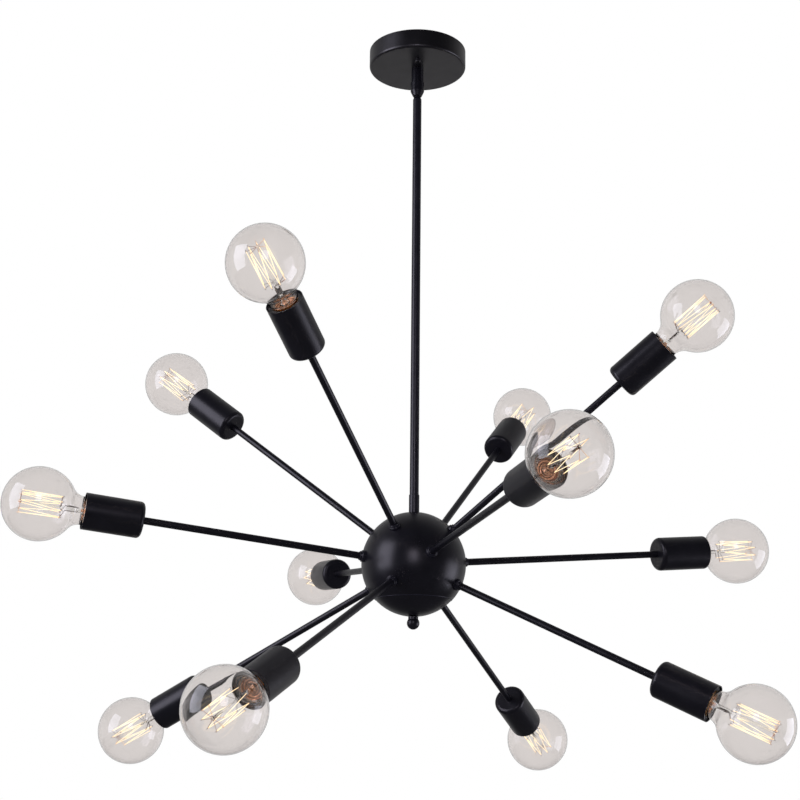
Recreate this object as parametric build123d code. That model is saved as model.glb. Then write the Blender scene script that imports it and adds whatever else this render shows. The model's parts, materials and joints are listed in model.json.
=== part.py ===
from build123d import *
import os
from math import acos, cos, degrees, radians, sin, sqrt, tan

# A sputnik chandelier: twelve bare bulbs on straight arms that radiate from a hollow ball,
# hung from a shallow round canopy by a rod with a ball swivel at its top.
# Millimetres. The ceiling is at z = 0 and the light hangs down in -Z.
# The crossbar in the canopy runs along Y. Arms 01 to 04 are the upper ring, 05 to 08 the
# middle one and 09 to 12 the lower one.

# ---- fits ----
THREAD_GAP = 0.05          # radial gap between a thread's two halves, drawn plain
SWIVEL_GAP = 0.05          # running gap on both sides of the swivel's seat ring
LOOSE_GAP = 0.4            # radial gap round a part that lifts out, or a hole that a part clears

# ---- canopy and its fixing to the ceiling box ----
CANOPY_D = 120.0
CANOPY_HEIGHT = 23.0
CANOPY_WALL = 1.0
CANOPY_EDGE_R = 3.0
BAR_LENGTH = 108.0
BAR_WIDTH = 20.0
BAR_THICK = 2.0
BAR_WIRE_HOLE_D = 12.0
BOX_SCREW_SPACING = 88.9   # 3 1/2 inch ceiling box
BOX_SLOT_LENGTH = 10.0
BOX_SLOT_WIDTH = 4.6
CANOPY_SCREW_SPACING = 56.0
CANOPY_SCREW_D = 4.0
CAP_NUT_D = 7.0
CAP_NUT_HEIGHT = 4.5
CAP_NUT_ROOF = 1.2         # metal left over the end of the blind thread
GROUND_SCREW_Y = 16.0
GROUND_SCREW_D = 3.5
GROUND_HEAD_D = 7.0
GROUND_HEAD_HEIGHT = 2.2
GROUND_HEAD_EDGE_R = 1.2
GROUND_SCREW_LENGTH = 1.6  # thread held in the bar

# ---- ball swivel ----
SWIVEL_TUBE_D = 14.9
SWIVEL_TUBE_SHOWN = 19.0   # from the canopy to the top of the cup
SWIVEL_TUBE_IN_CUP = 6.0
SWIVEL_BORE_D = 7.0
NIPPLE_D = 9.8             # the hollow thread that goes up through the canopy
NIPPLE_RISE = 12.0         # above the canopy's underside
NIPPLE_NUT_ACROSS = 14.0
NIPPLE_NUT_THICK = 3.0
CUP_RIM_D = 16.8
CUP_STRAIGHT = 11.5
CUP_CONE = 6.3
CUP_LIP = 0.6              # wall left round the mouth
BALL_D = 11.0
BALL_NECK_D = 7.0
BALL_TO_MOUTH = 4.6        # from the ball's centre down to the mouth of the cup
SEAT_TOP = 0.3             # the seat ring's top and bottom, below the ball's centre
SEAT_BOTTOM = 3.2
SWIVEL_TILT = 12.0         # degrees each way
STUD_WIRE_BORE_D = 3.6
STUD_NECK_DROP = 6.4       # from the ball's centre to the top of the flange
STUD_FLANGE_TOP_D = 8.2
STUD_FLANGE_HEIGHT = 3.0
STUD_THREAD_LENGTH = 12.0

# ---- down rod and hub ----
HUB_DROP = 646.0           # ceiling to the centre of the ball
ROD_D = 10.6
ROD_WALL = 1.0
HUB_D = 120.0
HUB_WALL = 1.2
COUPLING_D = 12.1
COUPLING_HEIGHT = 21.3
COUPLING_ROD_DEPTH = 14.0
COUPLING_CHAMFER = 0.8
COUPLING_THREAD_D = 9.8
COUPLING_THREAD_LENGTH = 12.0
COUPLING_BORE_D = 6.0
COUPLING_NUT_ACROSS = 15.0
COUPLING_NUT_THICK = 3.5
COVER_SEAM_DROP = 40.4     # from the ball's centre down to the seam
COVER_SEAM_GAP = 0.5
COVER_STEP = 0.4           # the cover is this much smaller in radius than the ball
COVER_LIP_HEIGHT = 3.5
COVER_LIP_WALL = 1.0
STRAP_DROP = 30.0
STRAP_WIDTH = 14.0
STRAP_THICK = 2.0
STRAP_TURN = 18.5          # degrees from +X, clear of the lower ring's arms
BOLT_D = 6.0
BOLT_HEAD_ACROSS = 10.0
BOLT_HEAD_HEIGHT = 4.0
BOLT_IN_FINIAL = 6.0
FINIAL_BORE_SPARE = 3.0    # blind thread left beyond the bolt's end
FINIAL_GAP_ON_BOLT = 0.1   # radial, so that the finial spins freely
FINIAL_GAP = 0.3           # between the cover's lowest point and the finial's neck
FINIAL_NECK_D = 11.4
FINIAL_BALL_D = 14.4
FINIAL_BALL_DROP = 7.3     # from the neck's top to the middle of its ball

# ---- arms ----
RING_RISES = (36.5, 5.5, -25.5)      # degrees above level, upper ring first
RING_TURNS = (63.5, 18.5, 63.5)      # degrees from +X to the first arm of each ring
ARMS_PER_RING = 4
ARM_SHOWN = 253.5          # from the ball to the lampholder cup
ARM_D = 8.0
ARM_BORE_D = 5.4
ARM_IN_HUB = 12.0
ARM_END_D = 6.4            # turned down where it goes into the lampholder cup
ARM_END_LENGTH = 12.0
FERRULE_D = 13.4
FERRULE_HEIGHT = 3.2
FERRULE_NOSE_D = 10.6
FERRULE_NOSE_HEIGHT = 2.4
ARM_NUT_ACROSS = 12.0
ARM_NUT_THICK = 3.0

# ---- lampholders ----
HOLDER_CUP_D = 40.0
HOLDER_CUP_LENGTH = 64.0
HOLDER_CUP_WALL = 1.0
HOLDER_CUP_EDGE_R = 5.0
HOLDER_NUT_ACROSS = 10.0
HOLDER_NUT_THICK = 3.0
HOLDER_D = 37.0
HOLDER_BELOW_MOUTH = 2.0
HOLDER_WELL_DEPTH = 28.0
SHELL_D = 29.0             # the brass thread sleeve that the bulb screws into
SHELL_WALL = 0.6
SHELL_BELOW_RIM = 1.0
CONTACT_WIDTH = 6.0
CONTACT_LENGTH = 14.0
CONTACT_RISE = 3.0
CONTACT_THICK = 0.6
CONTACT_GAP = 0.2

# ---- bulbs: an 80 mm globe on a 26 mm screw cap ----
BULB_D = 80.0
BULB_LENGTH = 114.0
GLASS_WALL = 0.8
BULB_NECK_D = 29.0
BULB_NECK_FILLET = 12.0
CAP_D = 26.2
CAP_LENGTH = 26.0
CAP_CONTACT_D = 9.0
CAP_CONTACT_HEIGHT = 1.6
CAP_SKIRT_HEIGHT = 4.6     # from the tip to the bottom of the screw
STEM_FOOT_D = 19.0
STEM_TOP_D = 6.0
STEM_TOP_AT = 43.0         # from the tip of the cap
STEM_ROD_D = 2.4
STEM_BEAD_D = 5.0          # glass bead that the support wires are melted into
STEM_BEAD_HEIGHT = 2.5
CAGE_D = 24.0              # across the ring of filament strands
CAGE_LOW_AT = 51.0         # from the tip of the cap to the cage's two ends
CAGE_HIGH_AT = 94.0
CAGE_UPPER_HOOKS = 7       # two strands run down from each
STRAND_WIDTH = 0.6
SUPPORT_WIDTH = 0.5
SUPPORT_IN_GLASS = 0.7
LEAD_WIDTH = 0.8

# ---- worked out from the sizes above ----
canopy_under = -CANOPY_HEIGHT
cup_top = canopy_under - SWIVEL_TUBE_SHOWN
cup_mouth = cup_top - CUP_STRAIGHT - CUP_CONE
ball_z = cup_mouth + BALL_TO_MOUTH
rod_top = ball_z - STUD_NECK_DROP - STUD_FLANGE_HEIGHT
hub_z = -HUB_DROP
hub_r = HUB_D / 2
hub_inner_r = hub_r - HUB_WALL
cover_r = hub_r - COVER_STEP
cover_inner_r = cover_r - HUB_WALL
coupling_top = hub_r + COUPLING_HEIGHT          # above the ball's centre
finial_top = cover_r + FINIAL_GAP               # below the ball's centre
arm_reach = hub_r + ARM_SHOWN                   # ball's centre to the base of the lampholder cup
mouth_at = arm_reach + HOLDER_CUP_LENGTH        # ball's centre to the mouth of the cup
nut_seat_at = arm_reach + HOLDER_CUP_WALL
holder_foot_at = nut_seat_at + HOLDER_NUT_THICK
holder_rim_at = mouth_at - HOLDER_BELOW_MOUTH
well_floor_at = holder_rim_at - HOLDER_WELL_DEPTH
bulb_tip_at = well_floor_at + CONTACT_RISE + CONTACT_GAP


def outline(*points):
    """Flat face in the XZ plane, X outwards from the axis, from straight runs."""
    return make_face(Plane.XZ * Polyline(*points, close=True))


def turned(*points):
    """Body turned about Z from an outline of radius and height pairs."""
    return revolve(outline(*points), Axis.Z)


def rod(diameter, low, high):
    """Plain round body about Z."""
    return Pos(0, 0, low) * Cylinder(diameter / 2, high - low, align=(Align.CENTER, Align.CENTER, Align.MIN))


def ball(radius, z=0.0):
    return Pos(0, 0, z) * Sphere(radius)


def hex_nut(across, thick, bore_d, top):
    """Hexagon nut about Z with its upper face at top."""
    blank = RegularPolygon(across / 2, 6, major_radius=False) - Circle(bore_d / 2)
    return Pos(0, 0, top - thick) * extrude(blank, thick)


def seat_under(radius, corner_r):
    """How far along a radius of a ball a flat of this half width meets the inside of its wall."""
    return sqrt(radius**2 - corner_r**2)


def arm_places():
    """One placing for each arm: its own Z runs out from the ball's centre along the arm."""
    places = []
    for rise, turn in zip(RING_RISES, RING_TURNS):
        for k in range(ARMS_PER_RING):
            azimuth = turn + k * 360 / ARMS_PER_RING
            places.append(Pos(0, 0, hub_z) * Rot(0, 0, azimuth) * Rot(0, 90 - rise, 0))
    return places


# ---- canopy and its fixing ----

def canopy():
    """Pressed steel cup with a rolled lower edge, a hole for the nipple and two for the screws."""
    radius = CANOPY_D / 2
    shell = rod(CANOPY_D, canopy_under, 0)
    shell = fillet(shell.edges().group_by(Axis.Z)[0], CANOPY_EDGE_R)
    hollow = rod(CANOPY_D - 2 * CANOPY_WALL, canopy_under + CANOPY_WALL, 0)
    hollow = fillet(hollow.edges().group_by(Axis.Z)[0], CANOPY_EDGE_R - CANOPY_WALL)
    body = shell - hollow - rod(NIPPLE_D + 2 * THREAD_GAP, canopy_under, 0)
    for side in (-1, 1):
        hole = rod(CANOPY_SCREW_D + LOOSE_GAP, -radius, 0)
        body -= Pos(0, side * CANOPY_SCREW_SPACING / 2, 0) * hole
    return body


def mounting_crossbar():
    """Flat steel strap across the ceiling box, with a slot at each end for the box's screws."""
    strap = SlotOverall(BAR_LENGTH, BAR_WIDTH, rotation=90) - Circle(BAR_WIRE_HOLE_D / 2)
    for side in (-1, 1):
        slot = SlotOverall(BOX_SLOT_LENGTH, BOX_SLOT_WIDTH, rotation=90)
        strap -= Pos(0, side * BOX_SCREW_SPACING / 2) * slot
        strap -= Pos(0, side * CANOPY_SCREW_SPACING / 2) * Circle(CANOPY_SCREW_D / 2)
    strap -= Pos(0, GROUND_SCREW_Y) * Circle(GROUND_SCREW_D / 2)
    return extrude(strap, -BAR_THICK)


def canopy_screws():
    """Two studs that hang from the crossbar through the canopy."""
    end = canopy_under - CAP_NUT_HEIGHT + CAP_NUT_ROOF
    stud = rod(CANOPY_SCREW_D - 2 * THREAD_GAP, end, 0)
    return [Pos(0, side * CANOPY_SCREW_SPACING / 2, 0) * stud for side in (-1, 1)]


def canopy_cap_nuts():
    """Two small round nuts under the canopy, closed at the bottom."""
    bottom = canopy_under - CAP_NUT_HEIGHT
    nut = rod(CAP_NUT_D, bottom, canopy_under)
    nut = fillet(nut.edges().group_by(Axis.Z)[0], CAP_NUT_ROOF)
    nut -= rod(CANOPY_SCREW_D, bottom + CAP_NUT_ROOF, canopy_under)
    return [Pos(0, side * CANOPY_SCREW_SPACING / 2, 0) * nut for side in (-1, 1)]


def ground_screw():
    """Pan head screw up into the crossbar, for the earth wire."""
    screw = rod(GROUND_HEAD_D, -BAR_THICK - GROUND_HEAD_HEIGHT, -BAR_THICK)
    screw = fillet(screw.edges().group_by(Axis.Z)[0], GROUND_HEAD_EDGE_R)
    screw += rod(GROUND_SCREW_D - 2 * THREAD_GAP, -BAR_THICK, GROUND_SCREW_LENGTH - BAR_THICK)
    return Pos(0, GROUND_SCREW_Y, 0) * screw


# ---- ball swivel ----

def cone_radius(z):
    """Outer radius of the swivel cup's cone at a height."""
    mouth_r = swivel_mouth_r() + CUP_LIP
    return mouth_r + (CUP_RIM_D / 2 - mouth_r) * (z - cup_mouth) / CUP_CONE


def swivel_mouth_r():
    """The mouth lets the ball's neck lean by the full tilt."""
    lean = radians(SWIVEL_TILT)
    return BALL_TO_MOUTH * tan(lean) + BALL_NECK_D / 2 / cos(lean) + LOOSE_GAP


def swivel_tube():
    """Upper half of the swivel: a collar under the canopy, with the nipple turned on its top."""
    foot = cup_top - SWIVEL_TUBE_IN_CUP
    body = rod(SWIVEL_TUBE_D, foot, canopy_under)
    body += rod(NIPPLE_D, canopy_under, canopy_under + NIPPLE_RISE)
    return body - rod(SWIVEL_BORE_D, foot, canopy_under + NIPPLE_RISE)


def swivel_lock_nut():
    seat = canopy_under + CANOPY_WALL
    return hex_nut(NIPPLE_NUT_ACROSS, NIPPLE_NUT_THICK, NIPPLE_D + 2 * THREAD_GAP, seat + NIPPLE_NUT_THICK)


def swivel_cup():
    """Lower half of the swivel: a cup with a tapered nose that carries the ball on its seat ring."""
    bore_r = SWIVEL_TUBE_D / 2 + THREAD_GAP
    wall = CUP_RIM_D / 2 - bore_r
    cone_top = cup_mouth + CUP_CONE
    mouth_r = swivel_mouth_r()
    nose_tip = cone_radius(cup_mouth) - wall
    body = turned((0, cup_mouth), (mouth_r + CUP_LIP, cup_mouth), (CUP_RIM_D / 2, cone_top),
                  (CUP_RIM_D / 2, cup_top), (0, cup_top))
    hollow = turned((0, cup_mouth), (nose_tip, cup_mouth), (bore_r, cone_top), (bore_r, cup_top), (0, cup_top))
    return body - hollow - rod(2 * mouth_r, cup_mouth, ball_z)


def swivel_seat_ring():
    """Nylon ring between the ball and the cup's tapered nose."""
    top = ball_z - SEAT_TOP
    bottom = ball_z - SEAT_BOTTOM
    wall = CUP_RIM_D / 2 - SWIVEL_TUBE_D / 2 - THREAD_GAP + SWIVEL_GAP
    ring = turned((0, bottom), (cone_radius(bottom) - wall, bottom), (cone_radius(top) - wall, top), (0, top))
    return ring - ball(BALL_D / 2 + SWIVEL_GAP, ball_z)


def swivel_ball():
    """Ball, neck, flange and thread turned in one piece, bored through for the wires."""
    flange_top = ball_z - STUD_NECK_DROP
    thread_end = rod_top - STUD_THREAD_LENGTH
    thread_r = ROD_D / 2 - ROD_WALL - THREAD_GAP
    stud = turned((0, ball_z), (BALL_NECK_D / 2, ball_z), (BALL_NECK_D / 2, flange_top),
                  (STUD_FLANGE_TOP_D / 2, flange_top), (ROD_D / 2, rod_top), (thread_r, rod_top),
                  (thread_r, thread_end), (0, thread_end))
    return stud + ball(BALL_D / 2, ball_z) - rod(STUD_WIRE_BORE_D, thread_end, ball_z + BALL_D)


# ---- down rod and hub, drawn about the ball's centre and hung at hub_z ----

def down_rod():
    foot = hub_z + coupling_top - COUPLING_ROD_DEPTH
    return rod(ROD_D, foot, rod_top) - rod(ROD_D - 2 * ROD_WALL, foot, rod_top)


def hub_coupling():
    """Turned sleeve that holds the rod and goes down through the top of the ball."""
    thread_end = hub_r - COUPLING_THREAD_LENGTH
    sleeve = rod(COUPLING_D, hub_inner_r, coupling_top)
    sleeve = chamfer(sleeve.edges().group_by(Axis.Z)[-1], COUPLING_CHAMFER)
    sleeve -= ball(hub_r)
    sleeve += rod(COUPLING_THREAD_D, thread_end, coupling_top - COUPLING_ROD_DEPTH)
    sleeve -= rod(ROD_D + 2 * THREAD_GAP, coupling_top - COUPLING_ROD_DEPTH, coupling_top)
    return sleeve - rod(COUPLING_BORE_D, thread_end, coupling_top)


def hub_lock_nut():
    corner_r = COUPLING_NUT_ACROSS / sqrt(3)
    top = seat_under(hub_inner_r, corner_r)
    return hex_nut(COUPLING_NUT_ACROSS, COUPLING_NUT_THICK, COUPLING_THREAD_D + 2 * THREAD_GAP, top)


def hub_shell():
    """Hollow ball, open below the seam, with a threaded hole for each arm and one for the rod."""
    shell = ball(hub_r) - ball(hub_inner_r)
    below = Pos(0, 0, -COVER_SEAM_DROP) * Box(HUB_D, HUB_D, HUB_D, align=(Align.CENTER, Align.CENTER, Align.MAX))
    shell -= below
    shell -= rod(COUPLING_THREAD_D + 2 * THREAD_GAP, 0, HUB_D)
    hole = rod(ARM_D + 2 * THREAD_GAP, 0, HUB_D)
    for place in arm_places():
        shell -= Pos(0, 0, -hub_z) * place * hole
    return shell


def hub_cover():
    """Bowl that closes the ball, with a lip that centres it inside the shell."""
    seam = -COVER_SEAM_DROP - COVER_SEAM_GAP
    bowl = ball(cover_r) - ball(cover_inner_r)
    bowl -= Pos(0, 0, seam) * Box(HUB_D, HUB_D, HUB_D, align=(Align.CENTER, Align.CENTER, Align.MIN))
    lip_r = sqrt(hub_inner_r**2 - COVER_SEAM_DROP**2) - LOOSE_GAP
    lip_foot = seam - HUB_WALL
    lip = rod(2 * lip_r, lip_foot, -COVER_SEAM_DROP + COVER_LIP_HEIGHT)
    lip -= rod(2 * (lip_r - COVER_LIP_WALL), lip_foot, 0)
    lip &= ball(cover_inner_r + HUB_WALL / 2)
    return bowl + lip - rod(BOLT_D + 2 * LOOSE_GAP, -HUB_D, 0)


def hub_strap():
    """Flat bar across the inside of the ball, welded at both ends, that carries the cover's bolt."""
    bar = Box(HUB_D, STRAP_WIDTH, STRAP_THICK, align=(Align.CENTER, Align.CENTER, Align.MAX))
    bar = Pos(0, 0, -STRAP_DROP) * bar & ball(hub_inner_r)
    bar -= rod(BOLT_D + 2 * THREAD_GAP, -HUB_D, 0)
    return Rot(0, 0, STRAP_TURN) * bar


def cover_bolt():
    """Hexagon bolt that hangs from the strap and takes the finial on its end."""
    bolt = rod(BOLT_D, -finial_top - BOLT_IN_FINIAL, -STRAP_DROP)
    head = extrude(RegularPolygon(BOLT_HEAD_ACROSS / 2, 6, major_radius=False), BOLT_HEAD_HEIGHT)
    return bolt + Pos(0, 0, -STRAP_DROP) * head


def finial():
    """Ball nut that holds the cover up."""
    middle = -finial_top - FINIAL_BALL_DROP
    body = rod(FINIAL_NECK_D, middle, -finial_top) + ball(FINIAL_BALL_D / 2, middle)
    bore_end = -finial_top - BOLT_IN_FINIAL - FINIAL_BORE_SPARE
    return body - rod(BOLT_D + 2 * FINIAL_GAP_ON_BOLT, bore_end, -finial_top)


# ---- arms and lampholders, drawn along Z from the ball's centre ----

def arm():
    """Steel tube, threaded into the ball and turned down where it enters the lampholder cup."""
    inner_end = hub_inner_r - ARM_IN_HUB
    tube = rod(ARM_D, inner_end, arm_reach) + rod(ARM_END_D, arm_reach, arm_reach + ARM_END_LENGTH)
    return tube - rod(ARM_BORE_D, inner_end, arm_reach + ARM_END_LENGTH)


def arm_ferrule():
    """Stepped collar round the arm, with a foot that follows the ball."""
    shoulder = hub_r + FERRULE_HEIGHT
    collar = rod(FERRULE_D, hub_inner_r, shoulder)
    collar += rod(FERRULE_NOSE_D, shoulder, shoulder + FERRULE_NOSE_HEIGHT)
    return collar - ball(hub_r) - rod(ARM_D + 2 * THREAD_GAP, hub_inner_r, HUB_D)


def arm_lock_nut():
    corner_r = ARM_NUT_ACROSS / sqrt(3)
    return hex_nut(ARM_NUT_ACROSS, ARM_NUT_THICK, ARM_D + 2 * THREAD_GAP, seat_under(hub_inner_r, corner_r))


def holder_cup():
    """Spun steel cup with a rounded base and an open mouth."""
    blank = rod(HOLDER_CUP_D, arm_reach, mouth_at)
    blank = fillet(blank.edges().group_by(Axis.Z)[0], HOLDER_CUP_EDGE_R)
    corner = HOLDER_CUP_EDGE_R - HOLDER_CUP_WALL
    inside_r = HOLDER_CUP_D / 2 - HOLDER_CUP_WALL
    hollow = turned((0, nut_seat_at), (inside_r - corner, nut_seat_at), (inside_r, nut_seat_at + corner),
                    (inside_r, mouth_at), (0, mouth_at))
    return blank - hollow - rod(ARM_END_D + 2 * THREAD_GAP, arm_reach, mouth_at)


def holder_lock_nut():
    return hex_nut(HOLDER_NUT_ACROSS, HOLDER_NUT_THICK, ARM_END_D + 2 * THREAD_GAP, holder_foot_at)


def lampholder():
    """Moulded insulator with a threaded foot and a deep well for the bulb's cap."""
    body = rod(HOLDER_D, holder_foot_at, holder_rim_at)
    body = chamfer(body.edges().group_by(Axis.Z)[0], HOLDER_CUP_EDGE_R - HOLDER_CUP_WALL)
    well = rod(SHELL_D + 2 * THREAD_GAP, well_floor_at, holder_rim_at)
    foot_hole = rod(ARM_END_D + 2 * THREAD_GAP, holder_foot_at, arm_reach + ARM_END_LENGTH)
    return body - well - foot_hole


def screw_shell():
    """Brass sleeve in the well. Its rolled thread is drawn plain."""
    top = holder_rim_at - SHELL_BELOW_RIM
    return rod(SHELL_D, well_floor_at, top) - rod(SHELL_D - 2 * SHELL_WALL, well_floor_at, top)


def centre_contact():
    """Bent brass spring strip on the floor of the well."""
    half = CONTACT_LENGTH / 2
    low = well_floor_at
    high = well_floor_at + CONTACT_RISE
    strip = outline((-half, low), (0, low), (half, high - CONTACT_THICK), (half, high),
                    (0, low + CONTACT_THICK), (-half, low + CONTACT_THICK))
    return extrude(strip, CONTACT_WIDTH / 2, both=True)


# ---- bulb, drawn along Z from the tip of its cap ----

def globe_profile(inset):
    """Half outline of the globe and neck, drawn in by the glass wall for the inner face."""
    globe_r = BULB_D / 2 - inset
    neck_r = BULB_NECK_D / 2 - inset
    fillet_r = BULB_NECK_FILLET + inset
    centre = BULB_LENGTH - BULB_D / 2
    between = sqrt((globe_r + fillet_r)**2 - (neck_r + fillet_r)**2)
    lean = degrees(acos((neck_r + fillet_r) / (globe_r + fillet_r)))
    foot = CAP_LENGTH
    neck = Line((neck_r, foot), (neck_r, centre - between))
    cove = CenterArc((neck_r + fillet_r, centre - between), fillet_r, 180, -lean)
    globe = CenterArc((0, centre), globe_r, -lean, 90 + lean)
    edges = [Line((0, foot), (neck_r, foot)), neck, cove, globe, Line((0, centre + globe_r), (0, foot))]
    return make_face([Plane.XZ * edge for edge in edges])


def wire(start, end, width):
    """Straight square wire from one point to another."""
    run = Vector(*end) - Vector(*start)
    section = Plane(origin=start, z_dir=run) * Rectangle(width, width)
    return extrude(section, run.length, run)


def around(radius, turn, height):
    """Point at a radius from the bulb's axis, an angle in degrees and a height."""
    return (radius * cos(radians(turn)), radius * sin(radians(turn)), height)


def filament():
    """Cage of strands that run up and down between two rings of hooks, with their wires."""
    cage_r = CAGE_D / 2
    foot_r = STEM_BEAD_D / 2 - SUPPORT_IN_GLASS
    step = 360 / (CAGE_UPPER_HOOKS + 1)
    lower = [k * step for k in range(CAGE_UPPER_HOOKS + 1)]
    wires = []
    for turn in lower[:-1]:
        hook = around(cage_r, turn + step / 2, CAGE_HIGH_AT)
        wires.append(wire(around(cage_r, turn, CAGE_LOW_AT), hook, STRAND_WIDTH))
        wires.append(wire(around(cage_r, turn + step, CAGE_LOW_AT), hook, STRAND_WIDTH))
        wires.append(wire(around(foot_r, turn + step / 2, CAGE_HIGH_AT), hook, SUPPORT_WIDTH))
    for turn in lower[1:-1]:
        hook = around(cage_r, turn, CAGE_LOW_AT)
        wires.append(wire(around(foot_r, turn, CAGE_LOW_AT), hook, SUPPORT_WIDTH))
    for turn in (lower[0], lower[-1]):
        foot = around(STEM_ROD_D / 2, turn, STEM_TOP_AT - LEAD_WIDTH)
        wires.append(wire(foot, around(cage_r, turn, CAGE_LOW_AT), LEAD_WIDTH))
    return wires[0].fuse(*wires[1:])


def bulb():
    """Glass envelope, screw cap, glass stem and filament, as four bodies."""
    glass = revolve(globe_profile(0), Axis.Z) - revolve(globe_profile(GLASS_WALL), Axis.Z)
    cap = turned((0, 0), (CAP_CONTACT_D / 2, 0), (CAP_CONTACT_D / 2, CAP_CONTACT_HEIGHT),
                 (CAP_D / 2, CAP_SKIRT_HEIGHT), (CAP_D / 2, CAP_LENGTH), (0, CAP_LENGTH))
    stem = turned((0, CAP_LENGTH), (STEM_FOOT_D / 2, CAP_LENGTH), (STEM_TOP_D / 2, STEM_TOP_AT),
                  (STEM_ROD_D / 2, STEM_TOP_AT), (STEM_ROD_D / 2, CAGE_HIGH_AT), (0, CAGE_HIGH_AT))
    for middle in (CAGE_LOW_AT, CAGE_HIGH_AT):
        stem += rod(STEM_BEAD_D, middle - STEM_BEAD_HEIGHT / 2, middle + STEM_BEAD_HEIGHT / 2)
    cage = filament()
    return [glass, cap, stem - cage, cage]


# ---- writing ----

def save(name, *bodies):
    shape = bodies[0] if len(bodies) == 1 else Compound(children=list(bodies))
    export_step(shape, f"parts/{name}.step")


def copies(places, body):
    return [place * body for place in places]


def main():
    os.makedirs("parts", exist_ok=True)
    hub = Pos(0, 0, hub_z)
    places = arm_places()

    save("canopy", canopy())
    save("mounting_crossbar", mounting_crossbar())
    save("canopy_screws", *canopy_screws())
    save("canopy_cap_nuts", *canopy_cap_nuts())
    save("ground_screw", ground_screw())
    save("swivel_tube", swivel_tube())
    save("swivel_lock_nut", swivel_lock_nut())
    save("swivel_cup", swivel_cup())
    save("swivel_seat_ring", swivel_seat_ring())
    save("swivel_ball", swivel_ball())

    save("down_rod", down_rod())
    save("hub_coupling", hub * hub_coupling())
    save("hub_lock_nut", hub * hub_lock_nut())
    save("hub_shell", hub * hub_shell())
    save("hub_strap", hub * hub_strap())
    save("cover_bolt", hub * cover_bolt())
    save("hub_cover", hub * hub_cover())
    save("finial", hub * finial())

    save("arm_ferrules", *copies(places, arm_ferrule()))
    save("arm_lock_nuts", *copies(places, arm_lock_nut()))
    save("holder_lock_nuts", *copies(places, holder_lock_nut()))
    save("lampholders", *copies(places, lampholder()))
    save("screw_shells", *copies(places, screw_shell()))
    save("centre_contacts", *copies(places, centre_contact()))

    tube = arm()
    cup = holder_cup()
    lamp = bulb()
    for number, place in enumerate(places, 1):
        save(f"arm_{number:02d}", place * tube)
        save(f"holder_cup_{number:02d}", place * cup)
        save(f"bulb_{number:02d}", *[place * Pos(0, 0, bulb_tip_at) * body for body in lamp])


main()
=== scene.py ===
import json
from math import acos, cos, pi, radians, sin, sqrt

import bmesh
import bpy
from mathutils import Matrix, Vector


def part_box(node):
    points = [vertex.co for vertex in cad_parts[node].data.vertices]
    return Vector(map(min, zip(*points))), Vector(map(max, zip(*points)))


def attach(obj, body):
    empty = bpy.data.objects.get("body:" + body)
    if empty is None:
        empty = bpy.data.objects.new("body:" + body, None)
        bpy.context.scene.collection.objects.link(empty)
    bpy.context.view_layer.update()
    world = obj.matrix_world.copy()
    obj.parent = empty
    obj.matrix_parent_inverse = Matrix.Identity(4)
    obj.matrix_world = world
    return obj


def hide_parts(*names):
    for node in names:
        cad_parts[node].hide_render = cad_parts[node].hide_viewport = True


# A sputnik chandelier: twelve bare globe bulbs on straight arms round a hollow black ball,
# hung by a rod from a shallow canopy. Metres. The ceiling is at z = 0 and the light hangs in -Z.
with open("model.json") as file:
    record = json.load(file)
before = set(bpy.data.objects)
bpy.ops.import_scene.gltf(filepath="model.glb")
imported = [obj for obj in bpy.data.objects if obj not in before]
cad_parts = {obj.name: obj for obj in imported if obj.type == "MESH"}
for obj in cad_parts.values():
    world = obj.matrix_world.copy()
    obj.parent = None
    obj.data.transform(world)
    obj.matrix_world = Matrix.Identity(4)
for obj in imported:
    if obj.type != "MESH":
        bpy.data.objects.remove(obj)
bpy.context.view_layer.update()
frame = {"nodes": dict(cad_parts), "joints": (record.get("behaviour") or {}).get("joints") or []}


# ---- Camera ----
# It stands in front, below the hub's height, and looks up a little, turned by 0.6 degrees
# about its own axis, with the field of view of a short telephoto lens.
CAMERA_PLACE = (-0.0176, -1.6930, -0.8982)
CAMERA_PITCH = 0.2580
CAMERA_ROLL = 0.0105
LENS_MM = 66.81
SENSOR_MM = 36.0

camera_data = bpy.data.cameras.new("camera")
camera_data.sensor_width = SENSOR_MM
camera_data.lens = LENS_MM
camera = bpy.data.objects.new("camera", camera_data)
camera.matrix_world = (Matrix.Translation(CAMERA_PLACE) @ Matrix.Rotation(pi / 2 + CAMERA_PITCH, 4, "X")
                       @ Matrix.Rotation(CAMERA_ROLL, 4, "Z"))
bpy.context.scene.collection.objects.link(camera)
bpy.context.scene.camera = camera
bpy.context.scene.view_settings.view_transform = "Standard"


# ---- Room ----
# A white paper backdrop. The camera and the glass see it at full white. In what the paint
# mirrors it is pale behind the light and dim in front of it, by the Y part of its direction.
GLOSS_SHARE = 0.36
FRONT_DIM = 0.030
ROOM_FILL = 0.42
ROOM_FADE = (-0.45, 0.85)
WHITE = (1, 1, 1)


def feed(tree, socket, value):
    """Gives a node's input another node's output, a colour or a number."""
    if isinstance(value, bpy.types.NodeSocket):
        tree.links.new(value, socket)
    elif isinstance(value, (tuple, list)):
        socket.default_value = (*value, 1)
    else:
        socket.default_value = value


def calculated(tree, operation, *values):
    """Result of a calculation with numbers and other nodes' outputs."""
    node = tree.nodes.new("ShaderNodeMath")
    node.operation = operation
    for socket, value in zip(node.inputs, values):
        feed(tree, socket, value)
    return node.outputs[0]


def ranged(tree, value, low, high, over=(0.0, 1.0), curve="LINEAR"):
    """Number that goes from low to high while a value crosses a range."""
    spread = tree.nodes.new("ShaderNodeMapRange")
    spread.interpolation_type = curve
    spread.inputs["From Min"].default_value = over[0]
    spread.inputs["From Max"].default_value = over[1]
    spread.inputs["To Min"].default_value = low
    spread.inputs["To Max"].default_value = high
    tree.links.new(value, spread.inputs["Value"])
    return spread.outputs["Result"]


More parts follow.
